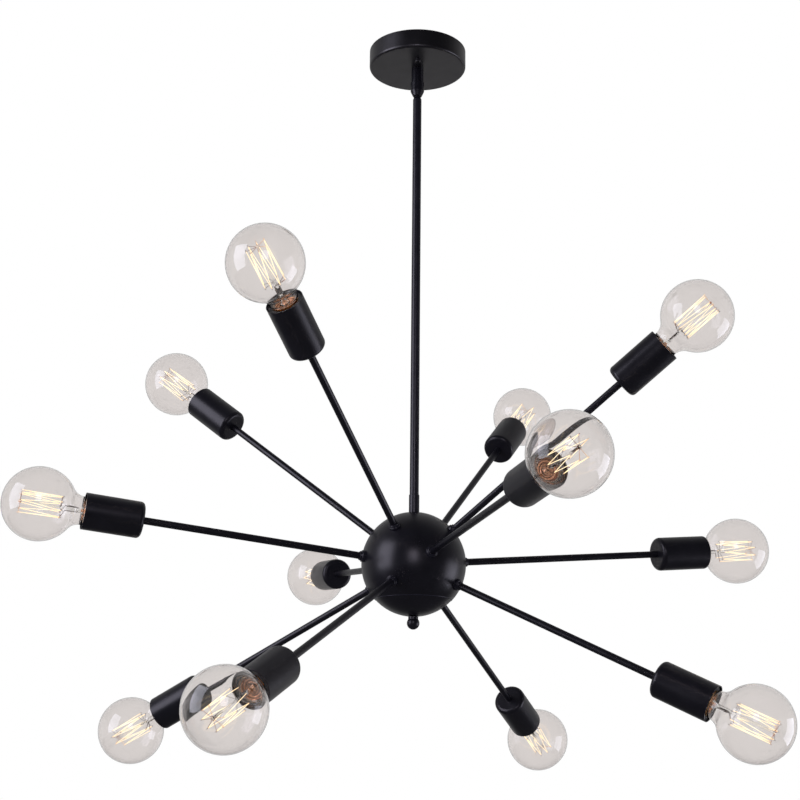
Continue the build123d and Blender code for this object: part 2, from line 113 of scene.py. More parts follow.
def seen_directly(tree, ray):
    """1 for what the camera sees, by itself or through glass, and 0 for all other light."""
    return calculated(tree, "MAXIMUM", ray.outputs["Is Camera Ray"], ray.outputs["Is Transmission Ray"])


world = bpy.data.worlds.new("room")
bpy.context.scene.world = world
world.use_nodes = True
tree = world.node_tree
tree.nodes.clear()
ray = tree.nodes.new("ShaderNodeLightPath")
place = tree.nodes.new("ShaderNodeTexCoord")
axes = tree.nodes.new("ShaderNodeSeparateXYZ")
tree.links.new(place.outputs["Generated"], axes.inputs[0])
behind = ranged(tree, axes.outputs["Y"], FRONT_DIM, GLOSS_SHARE, ROOM_FADE, "SMOOTHSTEP")
glossy = calculated(tree, "MULTIPLY", ray.outputs["Is Glossy Ray"], behind)
matt = calculated(tree, "MULTIPLY_ADD", ray.outputs["Is Diffuse Ray"], ROOM_FILL, glossy)
background = tree.nodes.new("ShaderNodeBackground")
feed(tree, background.inputs["Color"], WHITE)
feed(tree, background.inputs["Strength"], calculated(tree, "MAXIMUM", seen_directly(tree, ray), matt))
tree.links.new(background.outputs[0], tree.nodes.new("ShaderNodeOutputWorld").inputs["Surface"])


# ---- Softboxes ----
# A tall softbox at the left, a squarer one at the right and a small one over the camera, all
# aimed at the hub. For light that has passed through glass a card takes the lamp's place: it shows
# only in what the bulbs mirror inside, so that a bulb in front of a softbox isn't lost in it.
AIMED_AT = (0, 0, -0.62)
SIDE_COLOUR = (0.86, 0.88, 1.0)
FRONT_COLOUR = (0.90, 0.88, 1.0)


def switched(tree, factor, shader, other):
    """Gives a material one shader where a factor is 0 and another where it is 1."""
    either = tree.nodes.new("ShaderNodeMixShader")
    for socket, source in zip(either.inputs, (factor, shader, other)):
        tree.links.new(source, socket)
    tree.links.new(either.outputs[0], tree.nodes["Material Output"].inputs["Surface"])


def mirrored_only(name, brightness, colour):
    """Glow that is seen after a mirror reflection and is clear air otherwise."""
    material = bpy.data.materials.new(name)
    material.use_nodes = True
    material.cycles.emission_sampling = "NONE"
    tree = material.node_tree
    tree.nodes.remove(tree.nodes["Principled BSDF"])
    ray = tree.nodes.new("ShaderNodeLightPath")
    mirrored = calculated(tree, "GREATER_THAN", ray.outputs["Glossy Depth"], 0.5)
    glow = tree.nodes.new("ShaderNodeEmission")
    feed(tree, glow.inputs["Color"], colour)
    feed(tree, glow.inputs["Strength"], brightness)
    air = tree.nodes.new("ShaderNodeBsdfTransparent")
    switched(tree, mirrored, air.outputs[0], glow.outputs[0])
    return material


def object_of(bm, name, material):
    """Turns a drawn mesh into an object of one material."""
    mesh = bpy.data.meshes.new(name)
    bm.to_mesh(mesh)
    bm.free()
    mesh.materials.append(material)
    made = bpy.data.objects.new(name, mesh)
    bpy.context.scene.collection.objects.link(made)
    return made


def softbox(name, at, width, height, brightness, colour):
    """Area lamp of a given brightness with its card, aimed at the light."""
    data = bpy.data.lights.new(name, "AREA")
    data.shape = "RECTANGLE"
    data.size = width
    data.size_y = height
    data.energy = brightness * pi * width * height
    data.color = colour
    lamp = bpy.data.objects.new(name, data)
    aim = Vector(AIMED_AT) - Vector(at)
    place = Matrix.Translation(at) @ aim.to_track_quat("-Z", "Y").to_matrix().to_4x4()
    lamp.matrix_world = place
    lamp.visible_camera = False
    lamp.visible_transmission = False
    bpy.context.scene.collection.objects.link(lamp)

    bm = bmesh.new()
    bmesh.ops.create_grid(bm, x_segments=1, y_segments=1, size=0.5,
                          matrix=place @ Matrix.Diagonal((width, height, 1, 1)))
    card = object_of(bm, name + "_card", mirrored_only(name + "_glow", brightness, colour))
    card.visible_camera = False
    card.visible_diffuse = False
    card.visible_glossy = False
    card.visible_shadow = False


softbox("softbox_left", at=(-1.72, -0.74, -0.20), width=1.15, height=1.7, brightness=3.3,
        colour=SIDE_COLOUR)
softbox("softbox_right", at=(1.90, 0.14, -1.10), width=1.1, height=1.15, brightness=2.5,
        colour=SIDE_COLOUR)
softbox("softbox_front", at=(-0.04, -1.95, -0.29), width=0.56, height=0.74, brightness=3.5,
        colour=FRONT_COLOUR)


# ---- Floor ----
# Plain pale floor under the light, which takes its shadow. For the camera and the glass it is
# lifted towards the backdrop's white. What the paint mirrors of it is dark near by, pale far off.
FLOOR_Z = -2.5
FLOOR_HALF = 7.0
FLOOR_DARK = (0.74, 0.74, 0.74)
FLOOR_LIGHT = (0.78, 0.78, 0.78)
FLOOR_PATCHES_PER_METRE = 3.0
FLOOR_LIFT = 0.45
MIRRORED_NEAR = 0.11
MIRRORED_FAR = 0.95
FLOOR_FADE_Y = (1.8, 5.5)


def mixed(tree, factor, low, high):
    """Colour that goes from low to high with a factor."""
    mix = tree.nodes.new("ShaderNodeMix")
    mix.data_type = "RGBA"
    feed(tree, mix.inputs[0], factor)
    feed(tree, mix.inputs[6], low)
    feed(tree, mix.inputs[7], high)
    return mix.outputs[2]


floor_paint = bpy.data.materials.new("pale_floor")
floor_paint.use_nodes = True
tree = floor_paint.node_tree
surface = tree.nodes["Principled BSDF"]
ray = tree.nodes.new("ShaderNodeLightPath")
place = tree.nodes.new("ShaderNodeTexCoord")
grain = tree.nodes.new("ShaderNodeTexNoise")
grain.inputs["Scale"].default_value = FLOOR_PATCHES_PER_METRE
tree.links.new(place.outputs["Object"], grain.inputs["Vector"])
tone = mixed(tree, grain.outputs["Fac"], FLOOR_DARK, FLOOR_LIGHT)
axes = tree.nodes.new("ShaderNodeSeparateXYZ")
tree.links.new(place.outputs["Object"], axes.inputs[0])
behind = ranged(tree, axes.outputs["Y"], MIRRORED_NEAR, MIRRORED_FAR, FLOOR_FADE_Y, "SMOOTHSTEP")
feed(tree, surface.inputs["Base Color"], mixed(tree, ray.outputs["Is Glossy Ray"], tone, behind))
feed(tree, surface.inputs["Roughness"], 0.9)
feed(tree, surface.inputs["Specular IOR Level"], 0.1)
feed(tree, surface.inputs["Emission Color"], WHITE)
lift = calculated(tree, "MULTIPLY", seen_directly(tree, ray), FLOOR_LIFT)
feed(tree, surface.inputs["Emission Strength"], lift)

bm = bmesh.new()
bmesh.ops.create_grid(bm, x_segments=1, y_segments=1, size=FLOOR_HALF,
                      matrix=Matrix.Translation((0, 0, FLOOR_Z)))
object_of(bm, "floor", floor_paint)


# ---- Canopy ----
# Pressed steel cup under the ceiling with a rolled lower edge, held by two round cap nuts.
# Black satin powder coat: fine orange peel, and a sheen that varies a little from place to place.
PEEL_PER_METRE = 700.0
MOTTLE_PER_METRE = 45.0
SPECKS_PER_METRE = 1500.0
PEEL_DEPTH = 0.000012
PAINT_DARK = (0.0053, 0.0051, 0.0086)
PAINT_LIGHT = (0.0080, 0.0077, 0.0124)
SPECK_GREY = (0.020, 0.020, 0.026)
SHEEN_TINT = (1.0, 0.94, 1.0)
SHEEN_LEVEL = 0.46


def effect(name, inputs, outputs):
    """Empty node group with number inputs and number outputs."""
    group = bpy.data.node_groups.new(name, "ShaderNodeTree")
    for socket, value in inputs.items():
        made = group.interface.new_socket(socket, in_out="INPUT", socket_type="NodeSocketFloat")
        made.default_value = value
    for socket in outputs:
        group.interface.new_socket(socket, in_out="OUTPUT", socket_type="NodeSocketFloat")
    start = group.nodes.new("NodeGroupInput")
    end = group.nodes.new("NodeGroupOutput")
    return group, start, end


def noise(group, start, socket, detail, roughness=0.5):
    """Noise on object coordinates whose scale is one of the group's inputs."""
    here = group.nodes.new("ShaderNodeTexCoord")
    texture = group.nodes.new("ShaderNodeTexNoise")
    texture.inputs["Detail"].default_value = detail
    texture.inputs["Roughness"].default_value = roughness
    group.links.new(here.outputs["Object"], texture.inputs["Vector"])
    group.links.new(start.outputs[socket], texture.inputs["Scale"])
    return texture.outputs["Fac"]


coat, start, end = effect("powder_coat", {"Peel Scale": PEEL_PER_METRE, "Mottle Scale": MOTTLE_PER_METRE,
                                          "Speck Scale": SPECKS_PER_METRE}, ("Peel", "Mottle", "Specks"))
mottle = noise(coat, start, "Mottle Scale", detail=4.0, roughness=0.6)
specks = noise(coat, start, "Speck Scale", detail=2.0)
coat.links.new(noise(coat, start, "Peel Scale", detail=1.5), end.inputs["Peel"])
coat.links.new(ranged(coat, mottle, 0, 1, over=(0.3, 0.7)), end.inputs["Mottle"])
coat.links.new(ranged(coat, specks, 0, 1, over=(0.64, 0.74)), end.inputs["Specks"])


def bumped(tree, height, depth):
    """Normal from a height that varies from 0 to 1 over a depth in metres."""
    bump = tree.nodes.new("ShaderNodeBump")
    bump.inputs["Strength"].default_value = 1.0
    bump.inputs["Distance"].default_value = depth
    tree.links.new(height, bump.inputs["Height"])
    return bump.outputs["Normal"]


def finish_of(name, group):
    """New material with a group's node in it."""
    material = bpy.data.materials.new(name)
    material.use_nodes = True
    tree = material.node_tree
    node = tree.nodes.new("ShaderNodeGroup")
    node.node_tree = group
    return material, tree, tree.nodes["Principled BSDF"], node


def powder_coat(name, smooth, rough, tone=1.0, sheen=SHEEN_LEVEL):
    """Black powder coat, its roughness between smooth and rough and its colour scaled by tone. A tone other
    than 1 makes a lighter or darker copy of the same paint: painted light or shade.
    """
    material, tree, surface, node = finish_of(name, coat)
    dark = [tone * c for c in PAINT_DARK]
    light = [tone * c for c in PAINT_LIGHT]
    paint = mixed(tree, node.outputs["Mottle"], dark, light)
    feed(tree, surface.inputs["Base Color"], mixed(tree, node.outputs["Specks"], paint, SPECK_GREY))
    feed(tree, surface.inputs["Roughness"], ranged(tree, node.outputs["Mottle"], smooth, rough))
    feed(tree, surface.inputs["Normal"], bumped(tree, node.outputs["Peel"], PEEL_DEPTH))
    feed(tree, surface.inputs["Specular IOR Level"], sheen)
    feed(tree, surface.inputs["Specular Tint"], SHEEN_TINT)
    return material


def dress(material, *names):
    """Gives CAD nodes a material."""
    for name in names:
        mesh = frame["nodes"][name].data
        mesh.materials.clear()
        mesh.materials.append(material)


# The canopy's paint is a darker copy of the hub's, at 0.45 of its colour: painted shade that offsets its
# stronger sheen.
dress(powder_coat("canopy_paint_painted_shade", smooth=0.30, rough=0.38, tone=0.45, sheen=0.85), "canopy",
      "canopy_cap_nuts")


# ---- Fixing in the canopy ----
# Zinc plated steel strap with its two studs, the swivel's lock nut and the green earth screw.
# The canopy hides them in use.
SPANGLE_PER_METRE = 260.0
SCRATCHES_PER_METRE = 900.0
SCRATCH_DEPTH = 0.000004
STUD_CREST_R = 0.00195
STUD_ROOT_R = 0.00155
STUD_PITCH = 0.0007
SAME_POINT = 0.000001
SAME_HEIGHT = 0.00002

plating, start, end = effect("plating", {"Spangle Scale": SPANGLE_PER_METRE,
                                         "Scratch Scale": SCRATCHES_PER_METRE}, ("Spangle", "Scratches"))
spangle = noise(plating, start, "Spangle Scale", detail=3.0)
plating.links.new(ranged(plating, spangle, 0, 1, over=(0.3, 0.7)), end.inputs["Spangle"])
plating.links.new(noise(plating, start, "Scratch Scale", detail=5.0, roughness=0.7), end.inputs["Scratches"])


def plated(name, dark, light, smooth, rough):
    """Metal whose colour and roughness vary with its plating."""
    material, tree, surface, node = finish_of(name, plating)
    feed(tree, surface.inputs["Metallic"], 1.0)
    feed(tree, surface.inputs["Base Color"], mixed(tree, node.outputs["Spangle"], dark, light))
    feed(tree, surface.inputs["Roughness"], ranged(tree, node.outputs["Spangle"], smooth, rough))
    feed(tree, surface.inputs["Normal"], bumped(tree, node.outputs["Scratches"], SCRATCH_DEPTH))
    return material


zinc = plated("zinc_plate", dark=(0.50, 0.51, 0.53), light=(0.66, 0.67, 0.70), smooth=0.28, rough=0.42)
green = plated("green_passivate", dark=(0.05, 0.28, 0.10), light=(0.09, 0.40, 0.16), smooth=0.30, rough=0.45)
dress(zinc, "mounting_crossbar", "swivel_lock_nut")
dress(green, "ground_screw")


def line(bm, vert, radius, height):
    """Draws a straight edge in the XZ plane from a vertex to a radius and height."""
    end_vert = bm.verts.new((radius, 0, height))
    bm.edges.new((vert, end_vert))
    return end_vert


def rolled_thread(bm, root_r, crest_r, pitch, low, high, sides=40, points=8):
    """Open screw surface about Z between two heights, with a rounded thread."""
    middle = (root_r + crest_r) / 2
    depth = (crest_r - root_r) / 2
    start_z = low - pitch
    vert = bm.verts.new((middle + depth, 0, start_z))
    for k in range(1, points + 1):
        vert = line(bm, vert, middle + depth * cos(2 * pi * k / points), start_z + pitch * k / points)
    turns = int((high - low) / pitch) + 3
    bmesh.ops.spin(bm, geom=bm.verts[:] + bm.edges[:], cent=(0, 0, 0), axis=(0, 0, 1),
                   dvec=(0, 0, pitch / sides), angle=2 * pi * turns, steps=sides * turns)
    bmesh.ops.remove_doubles(bm, verts=bm.verts, dist=pitch / 200)
    for height, side in ((low, -1), (high, 1)):
        bmesh.ops.bisect_plane(bm, geom=bm.verts[:] + bm.edges[:] + bm.faces[:], plane_co=(0, 0, height),
                               plane_no=(0, 0, side), clear_outer=True)
    bmesh.ops.remove_doubles(bm, verts=bm.verts, dist=pitch / 200)


def rim_at(bm, height):
    """The open edges that lie at a height."""
    return [edge for edge in bm.edges if edge.is_boundary and
            all(abs(vert.co.z - height) < SAME_HEIGHT for vert in edge.verts)]


def drawn_to(bm, rim, radius, height):
    """Carries an open rim on to a new radius and height and returns the new rim."""
    made = bmesh.ops.extrude_edge_only(bm, edges=rim)["geom"]
    for vert in made:
        if isinstance(vert, bmesh.types.BMVert):
            away = Vector((vert.co.x, vert.co.y, 0)).normalized() * radius
            vert.co = (away.x, away.y, height)
    return [edge for edge in made if isinstance(edge, bmesh.types.BMEdge)]


def closed_smooth(bm):
    """Merges what coincides, turns the faces outwards and shades them smooth."""
    bmesh.ops.remove_doubles(bm, verts=bm.verts, dist=SAME_POINT)
    bmesh.ops.recalc_face_normals(bm, faces=bm.faces)
    for face in bm.faces:
        face.smooth = True


def threaded_rod(crest_r, root_r, pitch, low, high):
    """Closed rod about Z with a rolled thread from end to end."""
    bm = bmesh.new()
    rolled_thread(bm, root_r, crest_r, pitch, low, high, sides=24, points=4)
    for height in (low, high):
        end_rim = drawn_to(bm, rim_at(bm, height), root_r * 0.9, height)
        bmesh.ops.edgeloop_fill(bm, edges=end_rim)
    closed_smooth(bm)
    return bm


def shown(bm, name, material, body, node, sharp=180):
    """Makes a drawn mesh a piece that rides on a body, in place of a CAD node if one is named."""
    piece = object_of(bm, name, material)
    piece.data.set_sharp_from_angle(angle=radians(sharp))
    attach(piece, body)
    if node:
        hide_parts(node)


studs_low, studs_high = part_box("canopy_screws")
for side, y in (("left", studs_low.y + STUD_CREST_R), ("right", studs_high.y - STUD_CREST_R)):
    stud = threaded_rod(STUD_CREST_R, STUD_ROOT_R, STUD_PITCH, studs_low.z, studs_high.z)
    stud.transform(Matrix.Translation((0, y, 0)))
    shown(stud, f"canopy_stud_{side}", zinc, "ceiling_mount", "canopy_screws", sharp=60)


# ---- Ball swivel ----
# Collar, tapered cup and ball stud, turned and powder coated like the canopy, a little smoother.
# A nylon ring between ball and cup.
def moulded(name, dark, light, smooth, rough, uneven="Mottle", peel_scale=PEEL_PER_METRE, peel_depth=0.0):
    """Cast or moulded material whose colour and roughness vary a little, with a grain if it has depth."""
    material, tree, surface, node = finish_of(name, coat)
    feed(tree, node.inputs["Peel Scale"], peel_scale)
    feed(tree, surface.inputs["Base Color"], mixed(tree, node.outputs["Mottle"], dark, light))
    feed(tree, surface.inputs["Roughness"], ranged(tree, node.outputs[uneven], smooth, rough))
    if peel_depth:
        feed(tree, surface.inputs["Normal"], bumped(tree, node.outputs["Peel"], peel_depth))
    return material


dress(powder_coat("swivel_paint", smooth=0.24, rough=0.32), "swivel_tube", "swivel_cup", "swivel_ball")
dress(moulded("nylon", dark=(0.72, 0.70, 0.64), light=(0.80, 0.78, 0.72), smooth=0.42, rough=0.55),
      "swivel_seat_ring")


# ---- Rod and hub ----
# Steel rod in a turned sleeve on a hollow ball. The ball's lower cap is held by a bolt that
# hangs from a strap inside and by the small ball nut under it.
HUB_Z = -0.646
STRAP_DROP = 0.030
BOLT_CREST_R = 0.0030
BOLT_ROOT_R = 0.00255
BOLT_PITCH = 0.0010
HEAD_ACROSS = 0.0100
HEAD_HEIGHT = 0.0040
HEAD_BEVEL = 0.0007
SHANK_IN_HEAD = 0.0002
RIM_DROP = 0.0403
RIM_RING_R = 0.04395
RIM_BEAD_R = 0.00050

hub_centre = Vector((0, 0, HUB_Z))
strap_z = HUB_Z - STRAP_DROP
# The rod and coupling get a paler copy of the hub's paint, 1.5 times its colour: painted light for the light
# the rod catches.
dress(powder_coat("rod_paint_painted_light", smooth=0.26, rough=0.33, tone=1.5), "down_rod", "hub_coupling")
dress(powder_coat("hub_paint", smooth=0.27, rough=0.34), "hub_shell", "hub_cover", "finial")
dress(zinc, "hub_lock_nut", "hub_strap")

bolt_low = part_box("cover_bolt")[0]
shank = threaded_rod(BOLT_CREST_R, BOLT_ROOT_R, BOLT_PITCH, bolt_low.z, strap_z + SHANK_IN_HEAD)
shown(shank, "cover_bolt_shank", zinc, "pendant", "cover_bolt", sharp=60)

head_middle = strap_z + HEAD_HEIGHT / 2
head = bmesh.new()
bmesh.ops.create_cone(head, cap_ends=True, segments=6, radius1=HEAD_ACROSS / sqrt(3),
                      radius2=HEAD_ACROSS / sqrt(3), depth=HEAD_HEIGHT,
                      matrix=Matrix.Translation((0, 0, head_middle)))
upper = [edge for edge in head.edges if all(vert.co.z > head_middle for vert in edge.verts)]
bmesh.ops.bevel(head, geom=upper, affect="EDGES", offset=HEAD_BEVEL, segments=2, profile=0.5, material=-1)
shown(head, "cover_bolt_head", zinc, "pendant", "cover_bolt", sharp=30)


def turn_solid(bm, steps=96):
    """Revolves everything drawn about Z into a closed body."""
    bmesh.ops.spin(bm, geom=bm.verts[:] + bm.edges[:], cent=(0, 0, 0), axis=(0, 0, 1), angle=2 * pi,
                   steps=steps, use_merge=True)
    closed_smooth(bm)


# The shell's lower edge is rolled to a fine bead. Its paint is 4.5 times paler than the hub's, so the thin
# light line over the seam is partly its sheen and partly a painted highlight.
rim_paint_painted_highlight = powder_coat("rim_paint_painted_highlight", smooth=0.18, rough=0.26, tone=4.5)
bead = bmesh.new()
bmesh.ops.create_circle(bead, segments=10, radius=RIM_BEAD_R, matrix=Matrix.Translation(
    (RIM_RING_R, 0, HUB_Z - RIM_DROP)) @ Matrix.Rotation(pi / 2, 4, "X"))
turn_solid(bead, 160)
shown(bead, "hub_rim", rim_paint_painted_highlight, "pendant", None)


# ---- Arms ----
# Twelve steel tubes, powder coated like the hub, with stepped ferrules where they enter it and
# zinc plated lock nuts inside it.
HUB_R = 0.060
FERRULE_BORE_R = 0.00405
FERRULE_FOOT_R = 0.0054
FERRULE_R = 0.0067
FERRULE_HEIGHT = 0.0032
FERRULE_NOSE_R = 0.0053
FERRULE_NOSE_HEIGHT = 0.0024
FERRULE_ROUND = 0.0007
FERRULE_FILLET = 0.0002

numbers = [f"{k:02d}" for k in range(1, 13)]
arm_axes = {joint["child"]: Vector(joint["axis"])
            for joint in frame["joints"] if joint["name"].endswith("_out")}
dress(powder_coat("arm_paint", smooth=0.26, rough=0.34), *[f"arm_{n}" for n in numbers])
dress(zinc, "arm_lock_nuts", "holder_lock_nuts")


def along_arm(number, distance, own_turn=0.0):
    """Placing of what is drawn along Z, at a distance from the hub's centre on an arm."""
    axis = arm_axes[f"bulb_{number}"]
    turn = axis.to_track_quat("Z", "Y").to_matrix().to_4x4()
    return Matrix.Translation(hub_centre + axis * distance) @ turn @ Matrix.Rotation(own_turn, 4, "Z")


def rounded(bm, vert, radius, height, bend):
    """Draws up a side to a height and round its corner inwards."""
    vert = line(bm, vert, radius, height - bend)
    for lean in (22.5, 45, 67.5, 90):
        vert = line(bm, vert, radius - bend * (1 - cos(radians(lean))),
                    height - bend * (1 - sin(radians(lean))))
    return vert


def on_hub(radius):
    """Height over the hub's centre at which its skin has a radius about an arm."""
    return sqrt(HUB_R ** 2 - radius ** 2)


shoulder = HUB_R + FERRULE_HEIGHT
nose = shoulder + FERRULE_NOSE_HEIGHT
ferrule = bmesh.new()
first = ferrule.verts.new((FERRULE_BORE_R, 0, on_hub(FERRULE_BORE_R)))
vert = line(ferrule, first, FERRULE_FOOT_R, on_hub(FERRULE_FOOT_R))
vert = line(ferrule, vert, FERRULE_R, on_hub(FERRULE_R))
vert = rounded(ferrule, vert, FERRULE_R, shoulder, FERRULE_ROUND)
vert = line(ferrule, vert, FERRULE_NOSE_R + FERRULE_FILLET, shoulder)
vert = line(ferrule, vert, FERRULE_NOSE_R, shoulder + FERRULE_FILLET)
vert = rounded(ferrule, vert, FERRULE_NOSE_R, nose, FERRULE_ROUND)
vert = line(ferrule, vert, FERRULE_BORE_R, nose)
ferrule.edges.new((vert, first))
turn_solid(ferrule, 48)
# The ferrules' paint is a paler copy of the arms', 1.6 times its colour: painted light that, with their
# smoother finish, makes their edges read as highlights.
ferrule_paint_painted_highlight = powder_coat("ferrule_paint_painted_highlight", smooth=0.18, rough=0.26, tone=1.6)
for number in numbers:
    copy = ferrule.copy()
    copy.transform(along_arm(number, 0))
    shown(copy, f"arm_ferrule_{number}", ferrule_paint_painted_highlight, "pendant", "arm_ferrules", sharp=50)
ferrule.free()


# ---- Lampholders ----
# Spun steel cups, powder coated like the hub, round black moulded insulators. Each insulator
# carries a brass screw shell and a spring contact.
SHELL_PITCH = 0.00363
SHELL_CREST_R = 0.0144
SHELL_ROOT_R = 0.01365
SHELL_WALL = 0.00035
SHELL_FLOOR_R = 0.0095
SHELL_FOOT_AT = 0.3475       # along the arm from the hub's centre
SHELL_TOP_AT = 0.3745
SHELL_SCREW_FROM = 0.0012
SHELL_PLAIN_TOP = 0.0028     # above the screw
SHELL_TURN_STEP = 50         # degrees from one shell to the next

dress(powder_coat("cup_paint", smooth=0.28, rough=0.35), *[f"holder_cup_{n}" for n in numbers])
dress(moulded("black_moulding", dark=(0.010, 0.010, 0.011), light=(0.018, 0.018, 0.019), smooth=0.38,
              rough=0.50, peel_depth=0.00001), "lampholders")
brass = plated("brass", dark=(0.62, 0.40, 0.20), light=(0.84, 0.60, 0.33), smooth=0.20, rough=0.34)
dress(brass, "centre_contacts")

shell_length = SHELL_TOP_AT - SHELL_FOOT_AT
screw_end = shell_length - SHELL_PLAIN_TOP
shell = bmesh.new()
rolled_thread(shell, SHELL_ROOT_R, SHELL_CREST_R, SHELL_PITCH, SHELL_SCREW_FROM, screw_end)
rim = drawn_to(shell, rim_at(shell, SHELL_SCREW_FROM), SHELL_ROOT_R, SHELL_SCREW_FROM / 2)
rim = drawn_to(shell, rim, SHELL_ROOT_R - 0.0004, 0.0001)
drawn_to(shell, rim, SHELL_FLOOR_R, 0.0001)
rim = drawn_to(shell, rim_at(shell, screw_end), SHELL_CREST_R, screw_end + 0.0010)
drawn_to(shell, rim, SHELL_CREST_R, shell_length)
closed_smooth(shell)
bmesh.ops.solidify(shell, geom=shell.faces[:], thickness=SHELL_WALL)
for number in numbers:
    copy = shell.copy()
    copy.transform(along_arm(number, SHELL_FOOT_AT, int(number) * radians(SHELL_TURN_STEP)))
    shown(copy, f"screw_shell_{number}", brass, "pendant", "screw_shells")
shell.free()


# ---- Bulb glass ----
# Clear blown globe of 80 mm with a drawn neck, whose foot is cemented into the screw cap. All
# heights from here on are measured from the tip of the cap.
GLOBE_D = 0.080
GLASS_WALL = 0.0008
NECK_D = 0.031
COVE_R = 0.015
GLASS_FOOT_D = 0.0240
GLASS_FOOT_AT = 0.0225
NECK_ENTRY_AT = 0.0262
NECK_SHOULDER_AT = 0.0280
NECK_EASE = 0.0003
ENTRY_EASE = 0.0004
GLOBE_STEPS = 44
COVE_STEPS = 10
BULB_TURN_STEP = 137.5       # degrees from one bulb to the next
GLASS_TINT = (0.84, 0.812, 0.80)
SHADOW_TINT = (0.93, 0.92, 0.91)


def span(node, axis):
    """Nearest and farthest of a node's points from the hub's centre, measured along an arm."""
    reach = [(vert.co - hub_centre).dot(axis) for vert in frame["nodes"][node].data.vertices]
    return min(reach), max(reach)


tip_at, globe_end = span("bulb_01", arm_axes["bulb_01"])
bulb_length = globe_end - tip_at


def arc(bm, vert, centre, angle, steps):
    """Draws an arc in the XZ plane from a vertex and returns its last vertex."""
    made = bmesh.ops.spin(bm, geom=[vert], cent=(centre[0], 0, centre[1]), axis=(0, 1, 0), angle=angle,
                          steps=steps)
    return next(item for item in made["geom_last"] if isinstance(item, bmesh.types.BMVert))


def place_in_bulbs(bm, name, material, sharp=180):
    """Puts one copy of a drawn piece in each bulb, each bulb turned by its own angle."""
    for number in numbers:
        copy = bm.copy()
        copy.transform(along_arm(number, tip_at, int(number) * radians(BULB_TURN_STEP)))
        shown(copy, f"{name}_{number}", material, f"bulb_{number}", f"bulb_{number}", sharp)
    bm.free()


def draw_skin(bm, vert, inset, outwards):
    """Draws the globe, cove and neck from the pole to the foot, or back, moved in by inset."""
    globe_r = GLOBE_D / 2 - inset
    neck_r = NECK_D / 2 - inset
    cove_r = COVE_R + inset
    foot_r = GLASS_FOOT_D / 2 - inset
    middle = bulb_length - GLOBE_D / 2
    lean = acos((neck_r + cove_r) / (globe_r + cove_r))
    cove_at = middle - sqrt((globe_r + cove_r) ** 2 - (neck_r + cove_r) ** 2)
    if outwards:
        vert = arc(bm, vert, (0, middle), pi / 2 + lean, GLOBE_STEPS)
        vert = arc(bm, vert, (neck_r + cove_r, cove_at), -lean, COVE_STEPS)
        vert = line(bm, vert, neck_r, NECK_SHOULDER_AT)
        vert = line(bm, vert, neck_r - NECK_EASE, NECK_SHOULDER_AT - 0.0010)
        vert = line(bm, vert, (neck_r + foot_r) / 2, NECK_ENTRY_AT + ENTRY_EASE)
        vert = line(bm, vert, foot_r, NECK_ENTRY_AT)
        return line(bm, vert, foot_r, GLASS_FOOT_AT)
    vert = line(bm, vert, foot_r, GLASS_FOOT_AT)
    vert = line(bm, vert, foot_r, NECK_ENTRY_AT + inset)
    vert = line(bm, vert, (neck_r + foot_r) / 2, NECK_ENTRY_AT + ENTRY_EASE + inset)
    vert = line(bm, vert, neck_r - NECK_EASE, NECK_SHOULDER_AT)
    vert = line(bm, vert, neck_r, cove_at)
    vert = arc(bm, vert, (neck_r + cove_r, cove_at), lean, COVE_STEPS)
    return arc(bm, vert, (0, middle), -(pi / 2 + lean), GLOBE_STEPS)


glass = bpy.data.materials.new("clear_glass")
glass.use_nodes = True
tree = glass.node_tree
surface = tree.nodes["Principled BSDF"]
feed(tree, surface.inputs["Base Color"], GLASS_TINT)
feed(tree, surface.inputs["Roughness"], 0.0)
feed(tree, surface.inputs["IOR"], 1.45)
feed(tree, surface.inputs["Transmission Weight"], 1.0)
clear = tree.nodes.new("ShaderNodeBsdfTransparent")
feed(tree, clear.inputs["Color"], SHADOW_TINT)
ray = tree.nodes.new("ShaderNodeLightPath")
switched(tree, ray.outputs["Is Shadow Ray"], surface.outputs[0], clear.outputs[0])

bm = bmesh.new()
pole = bm.verts.new((0, 0, bulb_length))
foot = draw_skin(bm, pole, 0, outwards=True)
draw_skin(bm, foot, GLASS_WALL, outwards=False)
turn_solid(bm)
place_in_bulbs(bm, "glass", glass)


# ---- Screw caps ----
# Thin brass sleeve with a rolled 26 mm screw, crimped on a plug of black glass with a tin
# contact at its tip. A ring of tan cement holds the neck of the bulb in it.
CAP_PITCH = 0.00363
CAP_CREST_R = 0.0130
CAP_ROOT_R = 0.0123
CAP_SCREW_FROM = 0.0062
CAP_SCREW_TO = 0.0216
CAP_COLLAR_R = 0.0127
CAP_TOP = 0.0258
CAP_WALL = 0.0003
PLUG_R = 0.0112
PLUG_FROM = 0.0014
PLUG_TO = 0.0049
PLUG_INSIDE = 0.0080
TIN_R = 0.0045
CEMENT_FOOT_AT = GLASS_FOOT_AT + 0.0008
CEMENT_R = CAP_COLLAR_R - CAP_WALL - 0.00002

bm = bmesh.new()
rolled_thread(bm, CAP_ROOT_R, CAP_CREST_R, CAP_PITCH, CAP_SCREW_FROM, CAP_SCREW_TO)
